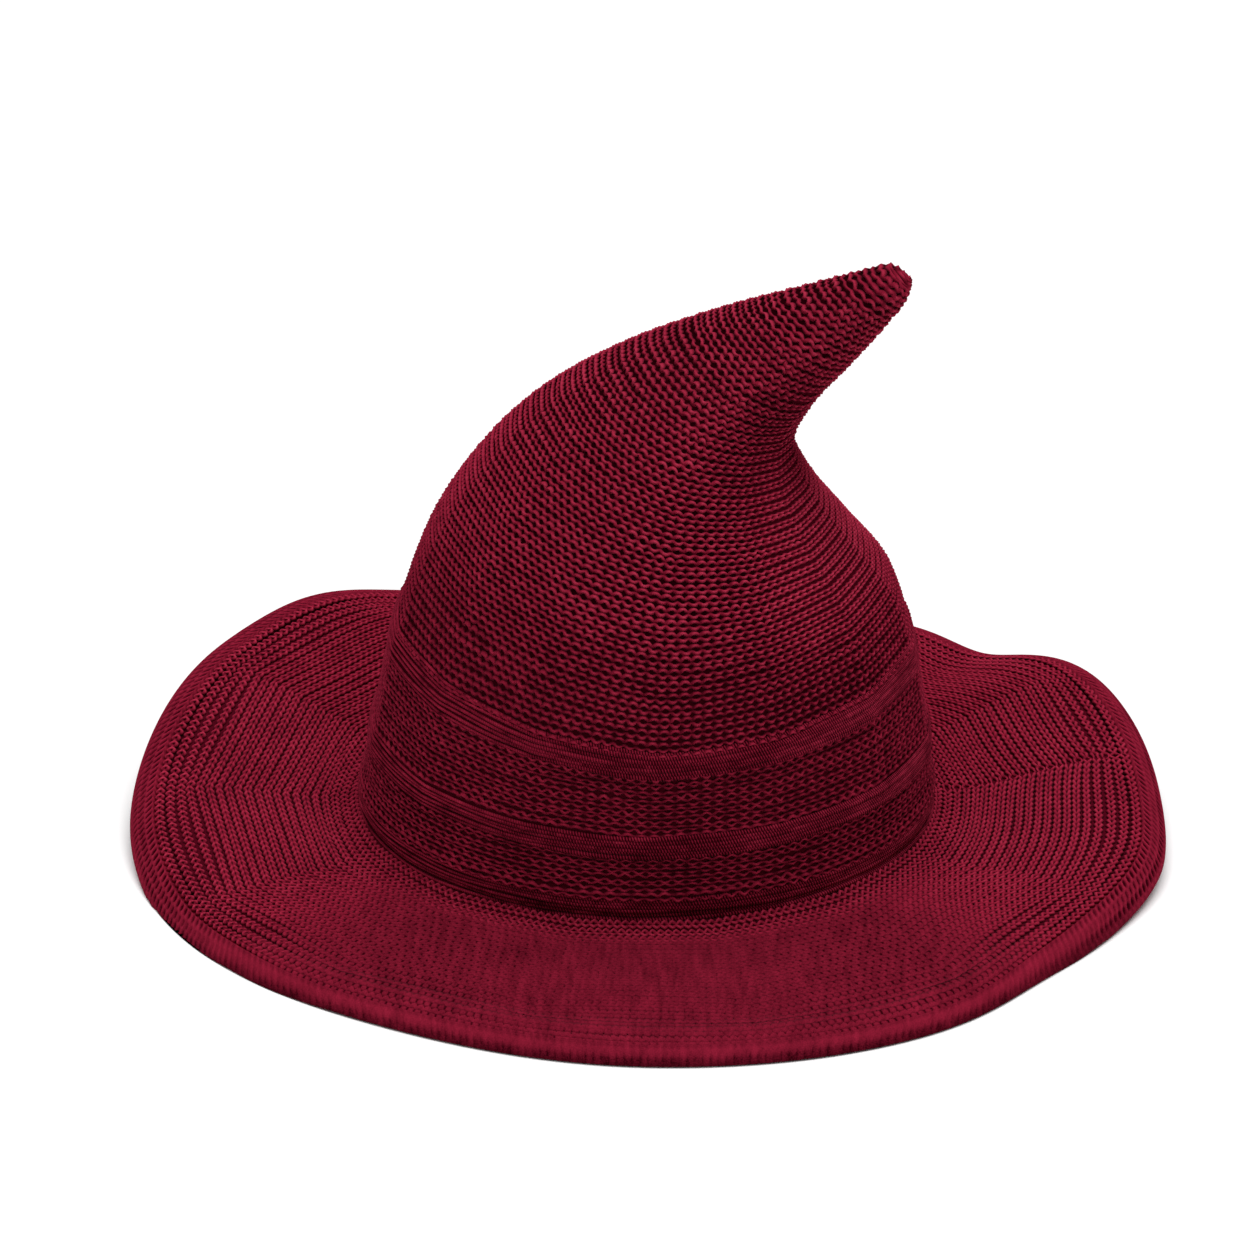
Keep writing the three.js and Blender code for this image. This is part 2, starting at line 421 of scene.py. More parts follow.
def wobble(angle, size):
    """Slow unevenness of a course: a few sine waves round the hat with seeded phases."""
    counts = np.array([3, 5, 9, 14])
    phases = random.uniform(0, TURN, len(counts))
    return size * np.sin(angle[:, None] * counts + phases).mean(1)


def uneven(stitches, segments):
    """Chance unevenness of a course's stitches about 0: a seeded draw a stitch, joined by straight lines."""
    draws = random.normal(0, 1, stitches)
    place = np.arange(stitches * segments) / segments
    return np.interp(place, np.arange(stitches + 1), np.append(draws, draws[0]))


def loop_wave(turn):
    """Rise of a row of round loops along its course: cos t - cos 2t / 5, round crests and close troughs."""
    return np.cos(turn) - 0.2 * np.cos(2 * turn)


# Shaders

class Value:
    """A shader socket that adds, subtracts and multiplies as a number does, by Math nodes."""

    def __init__(self, shader, socket):
        self.shader = shader
        self.socket = socket

    def math(self, operation, *others):
        inputs = dict(enumerate((self, *others)))
        return self.shader.node("ShaderNodeMath", {"operation": operation}, inputs)

    def __add__(self, other):
        return self.math("ADD", other)

    def __sub__(self, other):
        return self.math("SUBTRACT", other)

    def __mul__(self, other):
        return self.math("MULTIPLY", other)

    def __rsub__(self, other):
        return self.shader.node("ShaderNodeMath", {"operation": "SUBTRACT"}, {0: other, 1: self})

    __radd__ = __add__
    __rmul__ = __mul__

    def sine(self):
        return self.math("SINE")

    def fraction(self):
        return self.math("FRACT")

    def size(self):
        return self.math("ABSOLUTE")

    def clamped(self):
        return self.math("MAXIMUM", 0.0).math("MINIMUM", 1.0)


class Shader:
    """One material's nodes, all made by node(): a type, its settings, then its sockets' values or links."""

    def __init__(self, name):
        self.material = bpy.data.materials.new(name)
        self.material.use_nodes = True
        self.tree = self.material.node_tree
        self.tree.nodes.clear()

    def node(self, kind, settings=None, inputs=None, output=0):
        made = self.tree.nodes.new(kind)
        for name, value in (settings or {}).items():
            setattr(made, name, value)
        for name, value in (inputs or {}).items():
            if isinstance(value, Value):
                self.tree.links.new(value.socket, made.inputs[name])
            else:
                made.inputs[name].default_value = value
        return Value(self, made.outputs[output]) if made.outputs else None

    def uv(self):
        """The piece's own u and v."""
        split = self.node("ShaderNodeSeparateXYZ", {}, {0: self.node("ShaderNodeUVMap", {"uv_map": "UVMap"})})
        return split, Value(self, split.socket.node.outputs[1])

    def place(self):
        return self.node("ShaderNodeTexCoord", {}, {}, "Object")

    def noise(self, scale, detail=2.0, vector=None):
        inputs = {"Vector": vector or self.place(), "Scale": scale, "Detail": detail}
        return self.node("ShaderNodeTexNoise", {}, inputs, "Fac")

    def attribute(self, name):
        return self.node("ShaderNodeAttribute", {"attribute_name": name}, {}, "Fac")

    def mix(self, share, first, second):
        """Colour between two colours, RGBA tuples or links."""
        inputs = {"Factor": share, 6: first, 7: second}
        return self.node("ShaderNodeMix", {"data_type": "RGBA"}, inputs, 2)

    def bump(self, height, distance, strength):
        inputs = {"Height": height, "Distance": distance * MM, "Strength": strength}
        return self.node("ShaderNodeBump", {}, inputs)

    def finish(self, colour, roughness, normal, constants):
        inputs = {"Base Color": colour, "Roughness": roughness, "Normal": normal, **constants}
        surface = self.node("ShaderNodeBsdfPrincipled", {}, inputs)
        self.node("ShaderNodeOutputMaterial", {}, {"Surface": surface})
        return self.material


# Yarn colours: deep red, also used for painted shade; red; pale, for wear and for painted highlights. Then
# the near black of painted shade in the holes, and matted red
YARN_DEEP = (0.030, 0.0007, 0.0032, 1.0)
YARN_RED = (0.26, 0.0115, 0.033, 1.0)
YARN_WORN_AND_HIGHLIGHT = (0.46, 0.033, 0.074, 1.0)
HOLE_SHADOW_RED = (0.012, 0.0003, 0.0014, 1.0)
FELT_RED = (0.14, 0.0050, 0.0170, 1.0)
YARN_GLOSS = {"Sheen Weight": 0.03, "Sheen Roughness": 0.4, "Sheen Tint": (1.0, 0.35, 0.5, 1.0),
              "Specular IOR Level": 0.0}
# Noise of the yarn: scales for each metre of fibres, blotches of the dye and mottle of matted yarn, and the
# stretch of that mottle, short across and long from front to back
FIBRE_SCALE = 2600.0
BLOTCH_SCALE = 45.0
MOTTLE_SCALE = 420.0
MOTTLE_STRETCH = (1, 0.16, 0.5)
# How much the plies' painted shade between them and each noise move the yarn's tone, and the height of its
# bump in mm
PLY_SHADE_TONE = 0.34
FIBRE_TONE = 0.5
BLOTCH_TONE = 0.3
MATTED_BLOTCH_LOSS = 0.2
MOTTLE_TONE = 0.4
YARN_BUMP = 0.2


def yarn_colour(shader, level):
    """Colour of the yarn by level: deep at 0, red at a half, pale at 1; low levels carry painted shade, and
    high ones wear and painted highlights.
    """
    colour = shader.mix((level * 2.0).clamped(), YARN_DEEP, YARN_RED)
    return shader.mix((level * 2.0 - 1.0).clamped(), colour, YARN_WORN_AND_HIGHLIGHT)


def yarn_material():
    """Two-ply yarn: slanted plies and loose fibres as bump, deeper red between the plies as painted shade,
    paler where worn and where its tone carries painted highlights, and streaked from front to back where it
    is matted.

    Ply = half of 1 + sin(turns along + turns round the strand).
    """
    shader = Shader("wine_yarn")
    u, v = shader.uv()
    ply = ((u + v) * TURN).sine() * 0.5 + 0.5
    fibres = shader.noise(FIBRE_SCALE, 3.0)
    blotch = shader.noise(BLOTCH_SCALE, 3.0)
    felt = shader.attribute("felt")
    clear = 1 - felt * 0.9
    drawn_out = shader.node(
        "ShaderNodeVectorMath", {"operation": "MULTIPLY"}, {0: shader.place(), 1: MOTTLE_STRETCH}
    )
    mottle = (shader.noise(MOTTLE_SCALE, 2.0, drawn_out) - 0.5) * felt.clamped()
    level = shader.attribute("tone") + (ply - 0.5) * PLY_SHADE_TONE * clear + (fibres - 0.5) * FIBRE_TONE
    level = level + (blotch - 0.5) * (BLOTCH_TONE - felt.clamped() * MATTED_BLOTCH_LOSS)
    level = level + mottle * MOTTLE_TONE
    normal = shader.bump(ply * 0.8 * clear + fibres * 0.5, YARN_BUMP, 0.8)
    roughness = 0.76 - ply * 0.10 + (fibres - 0.5) * 0.2
    return shader.finish(yarn_colour(shader, level), roughness, normal, YARN_GLOSS)


def ground_material():
    """Ground of the knit: nearly black outside, as painted shade where it only shows in the holes between the
    strands, matted red where felt is 1, and rows of V stitches where inside is 1, drawn by bump and by
    painted shade between their legs.

    V = fraction of (row + slope * distance from the stitch's middle).
    """
    shader = Shader("knit_ground_hole_shade")
    u, v = shader.uv()
    inside = shader.attribute("inside")
    lean = (u.fraction() - 0.5).size() * 2.0
    leg = (v + lean * 0.5).fraction()
    body = (1 - (leg * 2.0 - 1.0).size() * 1.15).clamped()
    gap = (1 - (lean * 2.0 - 1.0).size() * 0.9).clamped()
    stitch = (body * gap * 1.6).clamped()
    fibres = shader.noise(1500.0, 3.0)
    blotch = shader.noise(40.0, 3.0)
    # V stitches inside: paler legs with painted shade between them
    yarn = yarn_colour(shader, stitch * 0.5 + blotch * 0.25 + fibres * 0.2 - 0.1)
    # Painted shade in the holes: near black, blotched with deep red
    hole_shadow = shader.mix((blotch - 0.3).clamped(), HOLE_SHADOW_RED, YARN_DEEP)
    matted = shader.mix(((fibres - 0.5) * 1.2 + 0.75).clamped(), YARN_DEEP, FELT_RED)
    outside = shader.mix(shader.attribute("felt"), hole_shadow, matted)
    colour = shader.mix(inside, outside, yarn)
    normal = shader.bump(stitch * inside + fibres * 0.2, 0.5, 0.9)
    roughness = 0.9 - fibres * 0.1
    return shader.finish(colour, roughness, normal, {"Specular IOR Level": 0.0})


def floor_material():
    """Pale studio floor with a faint mottle."""
    shader = Shader("studio_floor")
    mottle = shader.noise(3.0, 2.0)
    colour = shader.mix(mottle, (0.90, 0.90, 0.90, 1.0), (0.94, 0.94, 0.94, 1.0))
    normal = shader.bump(shader.noise(400.0), 0.02, 0.2)
    return shader.finish(colour, 0.9 - mottle * 0.1, normal, {})


# Crown

# Stitches of a zone of the knit: stitch length in mm; half width and rise of a strand as shares of the
# distance to the next one; depth of its wave and half thickness in mm; tone of its top, lower on the wall
# in part as painted shade, and how much darker its foot is, as painted shade; segments a stitch
Knit = namedtuple("Knit", "stitch width rise depth thickness tone foot segments")
WALL_KNIT = Knit(4.2, 0.44, 0.33, 0.16, 0.44, 0.325, 0.14, 5)
DOME_KNIT = Knit(3.57, 0.34, 0.24, 0.20, 0.48, 0.55, 0.20, 6)
PEAK_KNIT = Knit(3.9, 0.42, 0.20, 0.12, 0.42, 0.49, 0.20, 6)
DOME_START = 2.1
PEAK_START = 9.2
GROUND_DEPTH = 1.05
PAIR_CLOSING = 0.11
PAIR_FLATTENING = 0.45
OUTER_RIDGE = 0.15
# Chance in the loops' rise, in mm the wander of a course, and the least and the greatest half width
LOOP_CHANCE = 0.16
COURSE_WANDER = 0.25
HALF_WIDTHS = (0.42, 0.95)
# Tone by place: painted highlights on the crests of the loops on wall and dome, painted shade on the foot of
# the dome and the neck of the bend, chance, and painted light on the outer ridges, the left side and the
# right side of the dome
WALL_CREST_HIGHLIGHT = 0.12
DOME_CREST_HIGHLIGHT = 0.22
DOME_FOOT_SHADE = 0.17
NECK_SHADE = 0.24
TONE_CHANCE = 0.06
LEFT_LIGHT = 0.08
RIGHT_LIGHT = 0.13


def crown_stations():
    """Course numbers of the crown's strands, set apart along its front line by the table of spacings."""
    fine = np.linspace(0, TIP, 2000)
    line = crown_point(course_section(fine, 0.75 * TURN), 0.75 * TURN)
    steps = np.linalg.norm(np.diff(line, axis=0), axis=1)
    spacing = np.interp(fine[1:], STRAND_SPACING[:, 0], STRAND_SPACING[:, 1])
    count = np.append(0, np.cumsum(steps / spacing))
    return np.interp(np.arange(int(count[-1])) + 0.5, count, fine)


def crown_pairing(course, angle):
    """How close the two strands of a course draw together: 1 on the inner side of the bend, and below 0 on
    the left of the lower wall, where they part."""
    right = np.cos(angle)
    dome = smooth_step(2.2, 3.2, course) * (1 - smooth_step(7.0, 8.5, course))
    wall = -0.7 * smooth_step(0.3, 0.9, -right) * (1 - smooth_step(1.9, 2.4, course))
    return dome * smooth_step(0.35, 0.75, right) + wall


def outer_ridge(course, angle):
    """How far one strand of a course stands above the other: 1 on the outer side of the bend, 0 elsewhere."""
    return smooth_step(3.0, 4.5, course) * smooth_step(0.62, 0.95, -np.cos(angle))


def stitch_count(length, stitch):
    """Stitches in a course: a whole number in each wedge, or any number over 4 where the course is short."""
    if length < 0.75 * WEDGES * stitch:
        return max(4, round(length / stitch))
    return WEDGES * max(1, round(length / stitch / WEDGES))


def girth(course):
    """Length of a crown course all round."""
    ring = crown_frame(course, np.linspace(0, TURN, 200))[0]
    return np.linalg.norm(np.diff(ring, axis=0), axis=1).sum()


def crown_strand(course, gap, upper, knit):
    """One of a course's two strands on the crown: loops that stand up (lower strand) or hang (upper strand).

    Its middle lies on the course, moved up by rise * loop wave and towards its pair, and out by
    depth * cos t. On the wall the wave is a plain cosine. gap is the distance to the next strand in course
    numbers, and gives the strand its width.
    """
    is_wall = course < DOME_START
    stitches = stitch_count(girth(course), knit.stitch)
    angle = np.arange(stitches * knit.segments) * TURN / (stitches * knit.segments)
    turn = stitches * (angle - CROWN_WEDGE_LINE - WEDGE / 2)
    point, up, out = crown_frame(course, angle)
    spacing = np.linalg.norm(crown_frame(course + gap, angle)[0] - point, axis=1)
    pair = crown_pairing(course, angle)
    side = -1 if upper else 1
    loose = uneven(stitches, knit.segments)
    rough = 1 + 1.2 * (1 - smooth_step(1.8, 2.3, course)) + 0.4 * smooth_step(6.5, 8.0, course)
    rise = knit.rise * (1 - PAIR_FLATTENING * np.clip(pair, 0, 1)) * spacing
    rise = rise * (1 + LOOP_CHANCE * rough * loose)
    wave = side * rise * (np.cos(turn) if is_wall else loop_wave(turn))
    climb = wave + side * PAIR_CLOSING * pair * spacing + wobble(angle, COURSE_WANDER * rough)
    ridge = side * outer_ridge(course, angle)
    left = smooth_step(0.0, 0.7, -np.cos(angle))
    right = smooth_step(0.3, 0.8, np.cos(angle)) * smooth_step(2.2, 3.2, course)
    lift = knit.depth * (np.cos(turn) - 1) - knit.thickness + 0.05 * loose + OUTER_RIDGE * ridge
    centre = point + up * climb[:, None] + out * lift[:, None]
    width = np.clip(knit.width * spacing, *HALF_WIDTHS) * (1 + 0.06 * uneven(stitches, knit.segments))
    # Painted shade on the dome's foot (low) and the bend's neck, painted highlights on the crests, painted
    # light on the left, the outer ridges and the dome's right, and a foot darker as painted shade, less on
    # the right
    low = 0.0 if is_wall else DOME_FOOT_SHADE * (1 - smooth_step(DOME_START, 3.8, course))
    bend = smooth_step(4.6, 5.6, course) * (1 - smooth_step(7.0, 8.0, course))
    neck = bend * smooth_step(-0.1, 0.6, np.cos(angle))
    crest_highlight = WALL_CREST_HIGHLIGHT if is_wall else DOME_CREST_HIGHLIGHT - 0.14 * left - 0.7 * low
    crest_highlight = crest_highlight * smooth_step(-0.2, 1.0, np.cos(turn))
    tone = knit.tone - low - NECK_SHADE * neck + crest_highlight + TONE_CHANCE * loose
    tone = tone + LEFT_LIGHT * (ridge + left) + RIGHT_LIGHT * right
    shift = -(0.2 + 0.75 * left) * wave
    foot = knit.foot + 0.12 * left - 0.1 * right
    felt = 0.5 + 0.3 * left if is_wall else 0.8 * left
    return strand(centre, out, width, knit.thickness, stitches, tone, felt, foot, shift, side)


def crown_knit(course):
    """Stitches of the zone that a course lies in."""
    if course < DOME_START:
        return WALL_KNIT
    return DOME_KNIT if course < PEAK_START else PEAK_KNIT


def crown_courses(name, low, high, material):
    """Strands of the crown between two course numbers, leaving out the welts."""
    stations = crown_stations()
    gaps = np.gradient(stations)
    strands = []
    for number, (course, gap) in enumerate(zip(stations, gaps)):
        in_welt = np.abs(WELT_PLACES - course).min() < WELT_BAND
        if low <= course < min(high, SPIRAL_START) and not in_welt:
            strands.append(crown_strand(course, gap, number % 2, crown_knit(course)))
    if high > SPIRAL_START:
        strands.append(tip_spiral())
    return yarn_piece(name, strands, material)


# Welts as knitted: places, half height and distance from strand to strand in section numbers
WELT_PLACES = np.array([0.055, 0.88, 1.97])
WELT_BAND = 0.115
WELT_STEP = 0.045
# Strands of a welt, points and hatch strokes round a strand, and how far it lies in, in mm
WELT_STRANDS = 6
WELT_SIDES = 280
WELT_HATCH = 616
WELT_SINK = 0.65
WELT_TONE = 0.3
# Millimetres to a section number at the crown's base, for strands that lie on the brim
BASE_HEIGHT = 27.0
# Yarn wound over the tip: its courses, turns and half sizes in mm, points on the way out and back, stitches
SPIRAL_START = 10.2
SPIRAL_END = 10.93
SPIRAL_TURNS = 3.2
SPIRAL_HALF_WIDTH = 0.95
SPIRAL_HALF_THICKNESS = 0.75
SPIRAL_OUT = 72
SPIRAL_BACK = 10
SPIRAL_STITCHES = 20


def tip_spiral():
    """Yarn wound to a close over the tip: a spiral up the crown's last courses, and its end led back inside.

    Course = start + (end - start) * t and angle = turns * t on the way out; straight back under the surface.
    """
    share = np.append(np.linspace(0, 1, SPIRAL_OUT), np.linspace(1, 0, SPIRAL_BACK))
    inward = np.repeat([0.0, 1.0], [SPIRAL_OUT, SPIRAL_BACK])
    angle = np.where(inward > 0, SPIRAL_TURNS * TURN, SPIRAL_TURNS * TURN * share) + 0.3 * TURN
    point, _, out = crown_frame(SPIRAL_START + (SPIRAL_END - SPIRAL_START) * share, angle)
    loops = 0.18 * np.sin(angle * 5) * (1 - inward)
    centre = point + out * (loops - 0.45 - 1.3 * inward)[:, None]
    # Tone: painted highlight where the loops stand out, and a foot darker as painted shade
    tone = 0.5 + 0.15 * np.sin(angle * 5)
    return strand(centre, out, SPIRAL_HALF_WIDTH, SPIRAL_HALF_THICKNESS, SPIRAL_STITCHES, tone, foot=0.15)


def crown_welts(material):
    """Close-knit welts: fine strands side by side along each welt, one more on the top welt, and the lowest
    on the brim where they pass the crown's base. On the left they are smooth lines, paler as painted light.
    At the front, where they are deeper red as painted shade, and at the right the plies show as a hatch.

    Course of a strand = place + step * its number from the welt's middle, with a slow wobble.
    """
    angle = np.arange(WELT_SIDES) * TURN / WELT_SIDES
    left = smooth_step(-0.1, 0.8, -np.cos(angle))
    front = smooth_step(0.75, 0.98, -np.sin(angle))
    felt = 1.7 * left - 1.0
    width = 1.05 - 0.43 * left
    thickness = 0.3 + 0.1 * left
    strands = []
    for place in WELT_PLACES:
        for number in range(WELT_STRANDS + (place == WELT_PLACES[-1])):
            course = place + WELT_STEP * (number - (WELT_STRANDS - 1) / 2)
            if course > 0:
                point, up, out = crown_frame(course, angle)
            else:
                point, up, out = brim_frame(np.full(WELT_SIDES, -course * BASE_HEIGHT), angle)
            centre = point + up * wobble(angle, 0.5)[:, None]
            centre = centre + out * (wobble(angle, 0.3) - WELT_SINK)[:, None]
            # Painted light on the left and painted shade at the front
            tone = WELT_TONE + LEFT_LIGHT * left - (0.17 - 0.03 * place) * front + wobble(angle * 3, 0.16)
            tone = tone + random.normal(0, TONE_CHANCE, WELT_SIDES)
            strands.append(strand(
                centre, out, width, thickness, WELT_HATCH, tone, felt, hand=-1, start=-number / 3
            ))
    return yarn_piece("crown_welts", strands, material)


# Sides of the crown's ground, how far its tip lies inside the crown's in mm, and stitches round its inner
# face and rows of them to a section
GROUND_SIDES = 112
TIP_SINK = (1.2, 0, 0.8)
INNER_STITCHES = 168
INNER_ROWS = 7.5


def crown_ground(material):
    """Knit wall under the crown's strands: up the outside to the tip, down the inside, joined at the base.

    Each ring is a course of the crown moved inwards along its normal.
    """
    angle = np.arange(GROUND_SIDES) * TURN / GROUND_SIDES
    outside = np.concatenate([np.linspace(0, 2.3, 47), np.linspace(2.4, TIP - 0.25, 60)])
    inside = np.linspace(CAVITY_END, 0, 60)

    def rings(courses, sink):
        point, _, out = crown_frame(courses[:, None], angle[None, :])
        return point - out * sink

    points = np.concatenate([rings(inside, WALL), rings(outside, GROUND_DEPTH)])
    rows = len(points)
    top_inside = crown_point(CAVITY_END, np.array(0.25 * TURN)) * (1, 0, 1)
    top_outside = crown_point(TIP, np.array(0.0)) - TIP_SINK
    flat = np.concatenate([points.reshape(-1, 3), [top_inside, top_outside]])
    quads = grid_faces(rows, GROUND_SIDES, False, True)
    row, column = grid_uv(rows - 1, GROUND_SIDES)
    course = np.concatenate([inside, outside])
    uv = np.stack([column * INNER_STITCHES / GROUND_SIDES, course[row] * INNER_ROWS], -1)
    side = np.arange(GROUND_SIDES)
    after = (side + 1) % GROUND_SIDES
    last = (rows - 1) * GROUND_SIDES
    triangles = np.concatenate([
        np.stack([np.full_like(side, len(flat) - 2), after, side], -1),
        np.stack([last + side, last + after, np.full_like(side, len(flat) - 1)], -1),
    ])
    is_inside = np.repeat([1.0, 0.0], [inside.size * GROUND_SIDES, outside.size * GROUND_SIDES])
    # felt here pales the outside's painted hole shade towards matted red: on the lower wall, and on the
    # dome's right
    wall = 0.4 - 0.22 * smooth_step(1.9, 2.3, course) - 0.18 * smooth_step(2.3, 3.8, course)
    right = 0.4 * smooth_step(2.2, 3.2, course)[:, None] * smooth_step(0.3, 0.8, np.cos(angle))[None, :]
    felt = np.append(np.maximum(wall[:, None], right).ravel(), [0, 0])
    piece = mesh_piece(
        "crown_ground", flat, quads, uv, material, triangles, np.zeros((len(triangles), 3, 2)),
        inside=np.append(is_inside, [1, 0]), felt=felt,
    )
    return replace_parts(piece, "crown")


# Brim

# Courses of the brim, where they start, length of a stitch and segments to it, half thickness of a strand
BRIM_COURSES = 21
BRIM_START = 2.4
BRIM_STITCH = 2.85
BRIM_SEGMENTS = 4
BRIM_THICKNESS = 0.5
# How far the courses lie on the hem, and how much further at the front; the hem's rise over the brim
HEM_OVERLAP = 3.0
FRONT_OVERLAP = 4.0
HEM_RISE = (HEM_THICKNESS - WALL) / 2
# Measure of a strand on the brim: plain, and what matting, the open lattice and the seam's eyelet add
Measure = namedtuple("Measure", "plain matted lattice eyelet")
# Shares of the distance between courses: from a course to its strands, their wave and half width
BRIM_APART = Measure(0.2, 0.05, 0.0, 0.18)
BRIM_WAVE = Measure(0.05, -0.05, 0.08, 0.0)
BRIM_HALF_WIDTH = Measure(0.265, 0.255, 0.0, -0.12)
# Depth of the wave, and how far an eyelet sinks and reaches along the course, in mm
BRIM_DEPTH = Measure(0.12, -0.1, 0.08, 0.0)
EYELET_SINK = 0.5
EYELET_REACH = 1.1
# Tone of the brim: plain, the painted highlight on its crests, and chance; how much deeper matted yarn is,
# the painted highlight on its rim over the hem, and the dark dots of painted shade at its holes, faint in the
# middle of the front and clear beside it
BRIM_TONE = 0.47
BRIM_CREST_HIGHLIGHT = 0.1
BRIM_CHANCE = 0.05
MATTED_SHADE = 0.205
RIM_HIGHLIGHT = 0.06
MIDDLE_DOT_SHADE = 0.08
SIDE_DOT_SHADE = 0.30
# Ground of the brim: its sides, depth, rise where matted and reach into the hem in mm, stitches and rows
BRIM_GROUND_SIDES = 336
BRIM_GROUND_DEPTH = 1.15
MATTED_RISE = 0.6
HEM_TUCK = 0.6
UNDER_STITCHES = 224
UNDER_ROWS = 24


def brim_width(angle):
    """Distance along the brim from the crown to the hem."""
    return brim_length(angle) - HEM_WIDTH - JOIN_GAP


def from_front(angle):
    """Angle away from the front of the hat, to either side."""
    return np.abs((angle - 0.75 * TURN + np.pi) % TURN - np.pi)


def front_felt(angle):
    """How matted the front of the brim is: 1 there, 0 at the sides and the back."""
    return 1 - smooth_step(np.radians(36), np.radians(62), from_front(angle))


def front_lattice(angle):
    """1 in the wedges near the front, whose courses touch between their holes, and 0 where they lie apart."""
    return 1 - smooth_step(np.radians(62), np.radians(67), from_front(angle))


def knit_width(angle):
    """Distance along the brim from the crown to the end of its courses, on top of the hem."""
    return brim_width(angle) + HEM_OVERLAP + FRONT_OVERLAP * front_felt(angle)


def stitch_angles(count):
    """Angles of even steps along a course of the brim, whose stitches are longer at its sides than at its
    front and back: the place of a step is angle - 0.075 * sin(2 * angle)."""
    fine = np.linspace(0, TURN, 4001)
    return np.interp(np.arange(count) * TURN / count, fine - 0.075 * np.sin(2 * fine), fine)


def seam_angle(angle, share):
    """Angle in the pattern of wedges, whose line on the right is the rounds' seam and leans to the back.

    Angle - (4 + 6 * share) degrees * exp(-(angle from the right / 20 degrees)^2).
    """
    away = (angle + np.pi) % TURN - np.pi
    return angle - np.radians(4.0 + 6.0 * share) * np.exp(-((away / np.radians(20)) ** 2))


def hem_step(along, angle):
    """Rise of the brim's top over the start of the hem: a smooth step from 4.5 mm before it to 2.5 past."""
    start = brim_width(angle)
    return HEM_RISE * smooth_step(start - 4.5, start + 2.5, along)


def matted(share, angle):
    """How matted the brim's top is at a share of its width: the front, but not its first courses."""
    return front_felt(angle) * smooth_step(0.06, 0.2, share)


def measured(measure, felt, lattice, eyelet):
    """A measure at each place of a strand: plain + matted * felt + lattice's and eyelet's own shares."""
    return measure.plain + measure.matted * felt + measure.lattice * lattice + measure.eyelet * eyelet


def brim_strand(course, upper):
    """One of a course's two strands on the brim.

    Its distance out is its course's share of the width, drawn in by the wedges' straight sides, with a wave
    of one period a stitch. The two strands of a course are mirrored: they close where the wave is high,
    which leaves a hole towards the next course, and spread where it is low. They part in an eyelet at the
    seam.
    """
    share = (course + 0.5) / BRIM_COURSES
    ring = np.linspace(0, TURN, 100)
    middle = brim_frame(share * knit_width(ring), ring)[0]
    length = np.linalg.norm(np.diff(middle, axis=0), axis=1).sum()
    stitches = round(length / BRIM_STITCH)
    angle = stitch_angles(stitches * BRIM_SEGMENTS)
    turn = np.arange(len(angle)) * TURN / BRIM_SEGMENTS
    width = knit_width(angle) - BRIM_START
    pitch = width / BRIM_COURSES
    felt = matted(share, angle)
    outer = smooth_step(0.74, 0.92, share)
    open_edge = outer + 1 - smooth_step(0.06, 0.2, share)
    lattice = np.clip(open_edge + front_lattice(angle), 0, 1)
    straight = (0.3 + 0.7 * smooth_step(0.05, 0.4, share)) * (1 - smooth_step(0.75, 1.0, share))
    wedge_angle = seam_angle(angle, share)
    drawn = straight * facet(wedge_angle, BRIM_WEDGE_LINE) * length / TURN
    off_seam = ((wedge_angle - BRIM_WEDGE_LINE + np.pi) % TURN - np.pi) * length / TURN
    eyelet = np.exp(-((off_seam / EYELET_REACH) ** 2))
    kind = (felt, lattice, eyelet)
    side = -1 if upper else 1
    loose = uneven(stitches, BRIM_SEGMENTS)
    apart = measured(BRIM_APART, *kind) * pitch
    wave = side * measured(BRIM_WAVE, *kind) * pitch * (1 + 0.2 * loose) * np.cos(turn)
    along = BRIM_START + share * width - drawn - side * apart + wave + wobble(angle, 0.2)
    along = np.clip(along, 0.3, width + BRIM_START - 0.2)
    point, _, up = brim_frame(along, angle)
    half_width = measured(BRIM_HALF_WIDTH, *kind) * pitch
    half_thickness = BRIM_THICKNESS * (1 - 0.5 * felt)
    sink = measured(BRIM_DEPTH, *kind) * (np.cos(turn) + 1) + half_thickness + EYELET_SINK * eyelet
    centre = point + up * (hem_step(along, angle) - sink)[:, None]
    # Painted highlights on the crests and on the matted rim over the hem, dark dots of painted shade at the
    # matted front's holes, and a foot darker as painted shade
    crest_highlight = smooth_step(-0.2, 1.0, -np.cos(turn))
    plain = 1 - felt
    off_middle = smooth_step(np.radians(8), np.radians(30), from_front(angle))
    dot_shade = MIDDLE_DOT_SHADE + SIDE_DOT_SHADE * off_middle + BRIM_CHANCE * loose
    dot_shade = dot_shade * upper * smooth_step(0.0, 1.0, np.cos(turn))
    rim_highlight = RIM_HIGHLIGHT * smooth_step(0.8, 1.0, share)
    tone = BRIM_TONE + (BRIM_CREST_HIGHLIGHT * crest_highlight + BRIM_CHANCE * loose) * plain
    tone = tone - (MATTED_SHADE - rim_highlight) * felt - dot_shade * (1 - plain**2)
    left = smooth_step(0.5, 0.9, -np.cos(angle))
    look = felt + (0.15 - 0.9 * outer * left) * plain
    return strand(centre, up, half_width, half_thickness, stitches, tone, look, 0.1 * plain, hand=side)


def brim_courses(name, first, last, material):
    """Strands of the brim's courses from the first number up to the last, two to a course."""
    strands = [brim_strand(course, upper) for course in range(first, last) for upper in (0, 1)]
    return yarn_piece(name, strands, material)


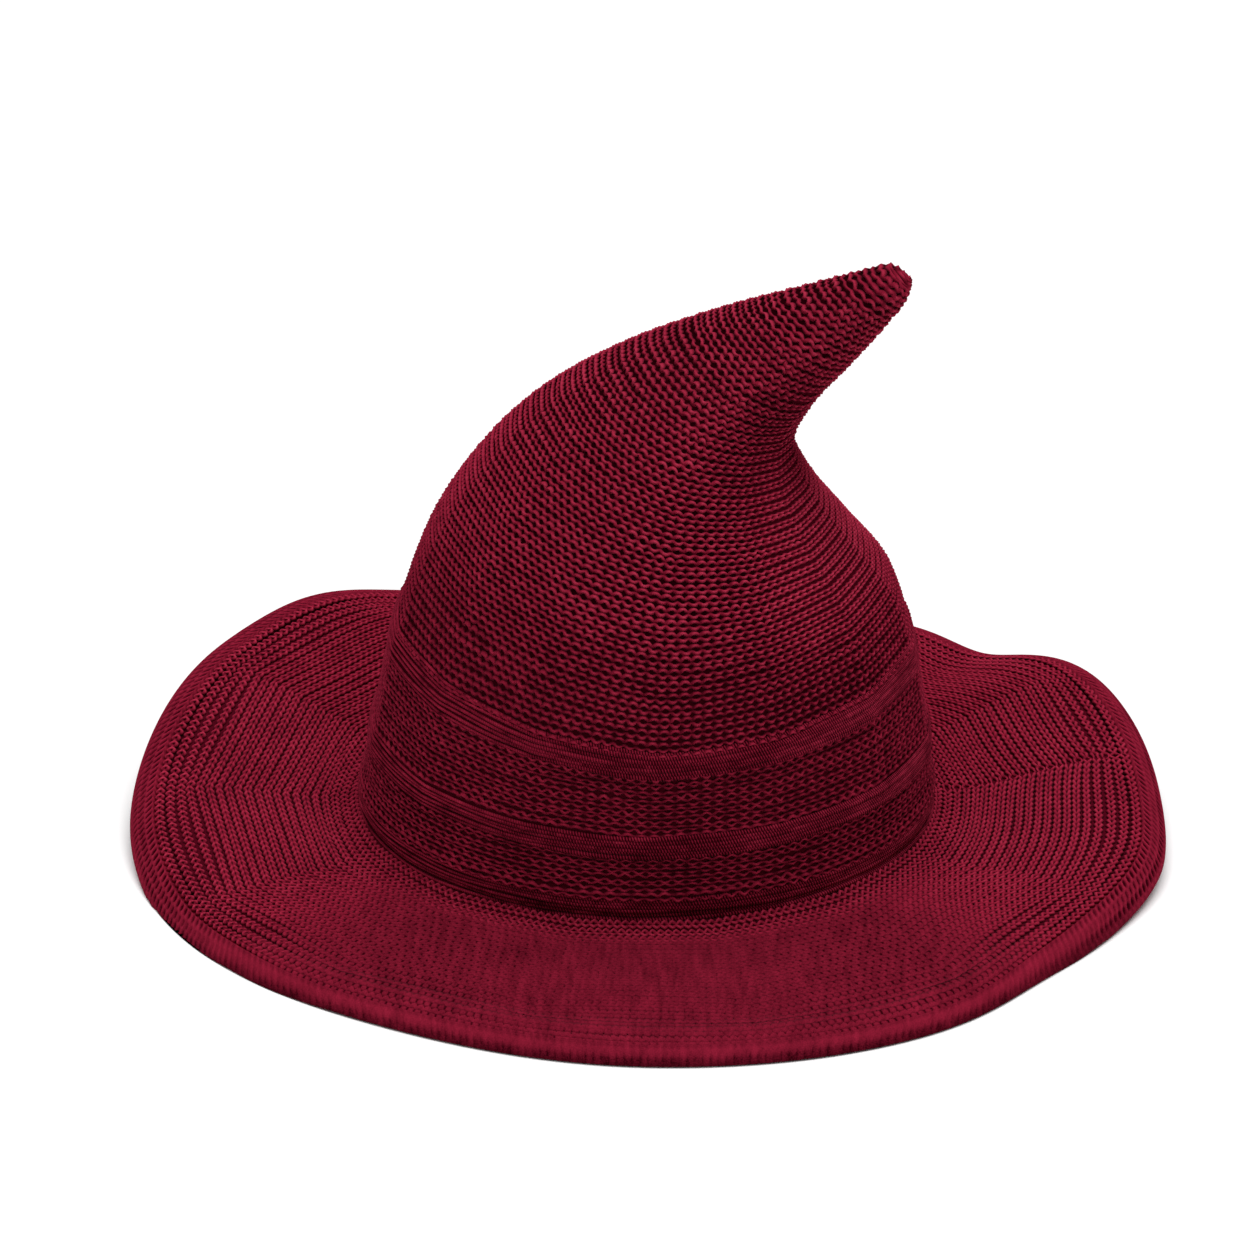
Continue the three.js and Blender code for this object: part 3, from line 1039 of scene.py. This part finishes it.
def brim_ground(material):
    """Knit wall under the brim's strands: its underside out to the hem and a little into it, and its upper
    side back.

    Each ring is a line along the brim moved down along its normal.
    """
    angle = np.arange(BRIM_GROUND_SIDES) * TURN / BRIM_GROUND_SIDES
    under = np.linspace(0, 1, 26)
    over = np.linspace(1, 0, 40)

    def rings(shares, sink):
        along = shares[:, None] * (brim_width(angle)[None, :] + HEM_TUCK)
        point, _, up = brim_frame(along, np.broadcast_to(angle, along.shape))
        return point - up * np.asarray(sink)[..., None]

    felt = np.concatenate([np.zeros((len(under), BRIM_GROUND_SIDES)), matted(over[:, None], angle[None, :])])
    depth = BRIM_GROUND_DEPTH - MATTED_RISE * felt[len(under):]
    points = np.concatenate([rings(under, WALL), rings(over, depth)])
    rows = len(points)
    quads = grid_faces(rows, BRIM_GROUND_SIDES, True, True)
    row, column = grid_uv(rows, BRIM_GROUND_SIDES)
    share = np.concatenate([under, over, under[:1]])
    uv = np.stack([column * UNDER_STITCHES / BRIM_GROUND_SIDES, share[row] * UNDER_ROWS], -1)
    inside = np.repeat([1.0, 0.0], [under.size * BRIM_GROUND_SIDES, over.size * BRIM_GROUND_SIDES])
    # The outside's felt is at least a half, which pales its painted hole shade on the brim towards matted red
    piece = mesh_piece(
        "brim_ground", points.reshape(-1, 3), quads, uv, material, inside=inside, felt=np.maximum(felt, 0.5)
    )
    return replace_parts(piece, "brim")


# Loops along the hem, points to a loop, steps of the nose and rows of the band, loops by which its columns
# slant, depth of the holes and how far the hem's top is sunk under the courses in mm
HEM_LOOPS = 384
HEM_LOOP_STEPS = 5
NOSE_STEPS = 8
BAND_ROWS = 13
HEM_SLANT = 2.7
HOLE_DEPTH = 0.9
HEM_SINK = 1.2
# Tone of the hem and of its sunk rows next to the band, dark as painted shade under the brim's courses, and
# how much deeper its holes are, as painted shade
HEM_TONE = 0.4
SUNK_SHADE_TONES = np.array([[0.27], [0.0], [0.0]])
HOLE_SHADE = 0.6


def brim_hem(material):
    """Rolled hem along the brim's edge: a flat band with a round nose, closed underneath, with slanted loops.

    Each point is a place round the band's section, out of the brim's line by the band's thickness. The top
    is sunk under the brim's last courses and dark there as painted shade. The band past them has three rows
    of holes in brick order, deepest where cos(loops along) times sin(three half waves across) is 1, and
    darkened as painted shade; its columns slant to the back on both sides. Points of the nose below the floor
    are drawn in under the hem and set on the floor. At the front the holes are filled with matted yarn: a
    pale ridge, with painted shade next to the brim's courses and deeper painted shade towards the nose, and
    short strokes.
    """
    columns = HEM_LOOPS * HEM_LOOP_STEPS
    angle = stitch_angles(columns)
    half = HEM_THICKNESS / 2
    flat = HEM_WIDTH - half
    nose = np.linspace(-np.pi / 2, np.pi / 2, NOSE_STEPS)[1:-1]
    across = np.linspace(1, 0, BAND_ROWS)
    counts = [3, len(nose), len(across), 3]
    on_band = np.repeat([0.0, 0.0, 1.0, 0.0], counts)[:, None]
    is_sunk = np.repeat([0.0, 0.0, 0.0, 1.0], counts)[:, None]
    place = np.concatenate([np.ones(counts[0] + counts[1]), across, np.zeros(counts[3])])[:, None]
    angle = angle + (1 - place) * HEM_SLANT * np.cos(angle) * TURN / HEM_LOOPS
    covered = knit_width(angle) - brim_width(angle) + 0.3 - 1.1 * front_felt(angle)
    edge = np.full_like(angle, flat)
    rows_of = np.split(np.arange(len(place)), np.cumsum(counts)[:-1])
    edge[rows_of[0]] *= np.array([[0.0], [0.5], [1.0]])
    edge[rows_of[2]] = (covered + place * (flat - covered))[rows_of[2]]
    edge[rows_of[3]] = covered[rows_of[3]] * np.array([[1.0], [0.5], [0.0]])
    under, over = np.full(counts[0], -np.pi / 2), np.full(counts[2] + counts[3], np.pi / 2)
    round_nose = np.concatenate([under, nose, over])
    off = half * np.sin(round_nose)[:, None]
    past = half * np.cos(round_nose)[:, None]
    point, out, up = brim_frame(brim_length(angle) - HEM_WIDTH + edge, angle)
    felt = front_felt(angle)
    smooth = 1 - smooth_step(np.radians(52), np.radians(78), from_front(angle))
    loop = np.cos(np.arange(columns) * TURN / HEM_LOOP_STEPS)[None, :]
    rows_across = np.sin(1.5 * TURN * place)
    hole = (0.5 + 0.5 * loop * np.sign(rows_across)) * np.abs(rows_across)
    hole = smooth_step(0.25, 0.75, hole) * on_band * (1 - 0.93 * smooth)
    height = off - WALL / 2 - HOLE_DEPTH * hole - (HEM_SINK - 0.75 * felt) * is_sunk
    points = point + out * past[..., None] + up * height[..., None]
    below = np.maximum(-points[..., 2], 0)
    points -= out * np.minimum(1.5 * below, past)[..., None]
    points[..., 2] = np.maximum(points[..., 2], 0)
    rows = len(place)
    quads = grid_faces(rows, columns, True, True)
    row, column = grid_uv(rows, columns)
    uv = np.stack([column / HEM_LOOP_STEPS, row / rows], -1)
    # Painted shade on the front's roll: next to the brim's courses and deeper towards the nose
    fold = 0.08 * felt - 0.12 * (1 - smooth_step(0.0, 0.3, place)) - 0.25 * smooth_step(0.45, 1.05, place)
    stroke = 0.1 * smooth_step(0.3, 0.7, place) * smooth_step(0.0, 1.0, loop)
    tone = HEM_TONE - HOLE_SHADE * hole - 0.08 * felt + (fold - stroke) * smooth
    # The sunk rows under the brim's courses are dark as painted shade
    sunk = rows_of[3]
    tone[sunk] = np.maximum(0.3 * felt[sunk], SUNK_SHADE_TONES)
    piece = mesh_piece(
        "brim_hem_roll", points.reshape(-1, 3), quads, uv, material, tone=tone, felt=0.6 + 0.4 * felt
    )
    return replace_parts(piece, "brim_hem")


# Studio

# Floor in mm; direction, strength and spread of the soft light, and strength of the air's own light
FLOOR_REACH = 6000.0
FLOOR_LEVEL = -0.3
SKY_DIRECTION = Vector((-0.06, -0.05, -1.0))
SKY_STRENGTH = 2.9
SKY_SPREAD = np.radians(60)
AIR_STRENGTH = 0.3


def studio():
    """Pale floor, soft light from above, and the camera of the photograph."""
    corners = np.array([(-1, -1), (1, -1), (1, 1), (-1, 1)]) * FLOOR_REACH
    mesh = bpy.data.meshes.new("floor")
    mesh.from_pydata([(x * MM, y * MM, FLOOR_LEVEL * MM) for x, y in corners], [], [(0, 1, 2, 3)])
    mesh.materials.append(floor_material())
    floor = bpy.data.objects.new("floor", mesh)
    bpy.context.scene.collection.objects.link(floor)

    light = bpy.data.lights.new("soft_sky", "SUN")
    light.energy = SKY_STRENGTH
    light.angle = SKY_SPREAD
    lamp = bpy.data.objects.new("soft_sky", light)
    lamp.rotation_euler = SKY_DIRECTION.to_track_quat("-Z", "Y").to_euler()
    bpy.context.scene.collection.objects.link(lamp)
    world = bpy.data.worlds.new("studio_air")
    world.use_nodes = True
    air = world.node_tree.nodes["Background"]
    air.inputs["Color"].default_value = (1.0, 1.0, 1.0, 1.0)
    air.inputs["Strength"].default_value = AIR_STRENGTH
    bpy.context.scene.world = world

    camera = bpy.data.cameras.new("photo_camera")
    camera.lens = LENS
    camera.sensor_width = SENSOR
    camera.clip_end = 50.0
    stand = bpy.data.objects.new("photo_camera", camera)
    eye = AIM + DISTANCE * np.array([0.0, -np.cos(ELEVATION), np.sin(ELEVATION)])
    stand.location = eye * MM
    stand.rotation_euler = Vector(AIM - eye).to_track_quat("-Z", "Y").to_euler()
    bpy.context.scene.collection.objects.link(stand)
    bpy.context.scene.camera = stand
    bpy.context.scene.view_settings.view_transform = "Standard"


yarn = yarn_material()
ground = ground_material()
crown_ground(ground)
crown_courses("crown_courses_base", 0.0, 0.9, yarn)
crown_courses("crown_courses_wall", 0.9, 2.1, yarn)
crown_courses("crown_courses_dome", 2.1, 4.2, yarn)
crown_courses("crown_courses_bend", 4.2, 6.5, yarn)
crown_courses("crown_courses_peak", 6.5, TIP, yarn)
crown_welts(yarn)
brim_ground(ground)
brim_courses("brim_courses_inner", 0, 11, yarn)
brim_courses("brim_courses_outer", 11, BRIM_COURSES, yarn)
brim_hem(yarn)
studio()
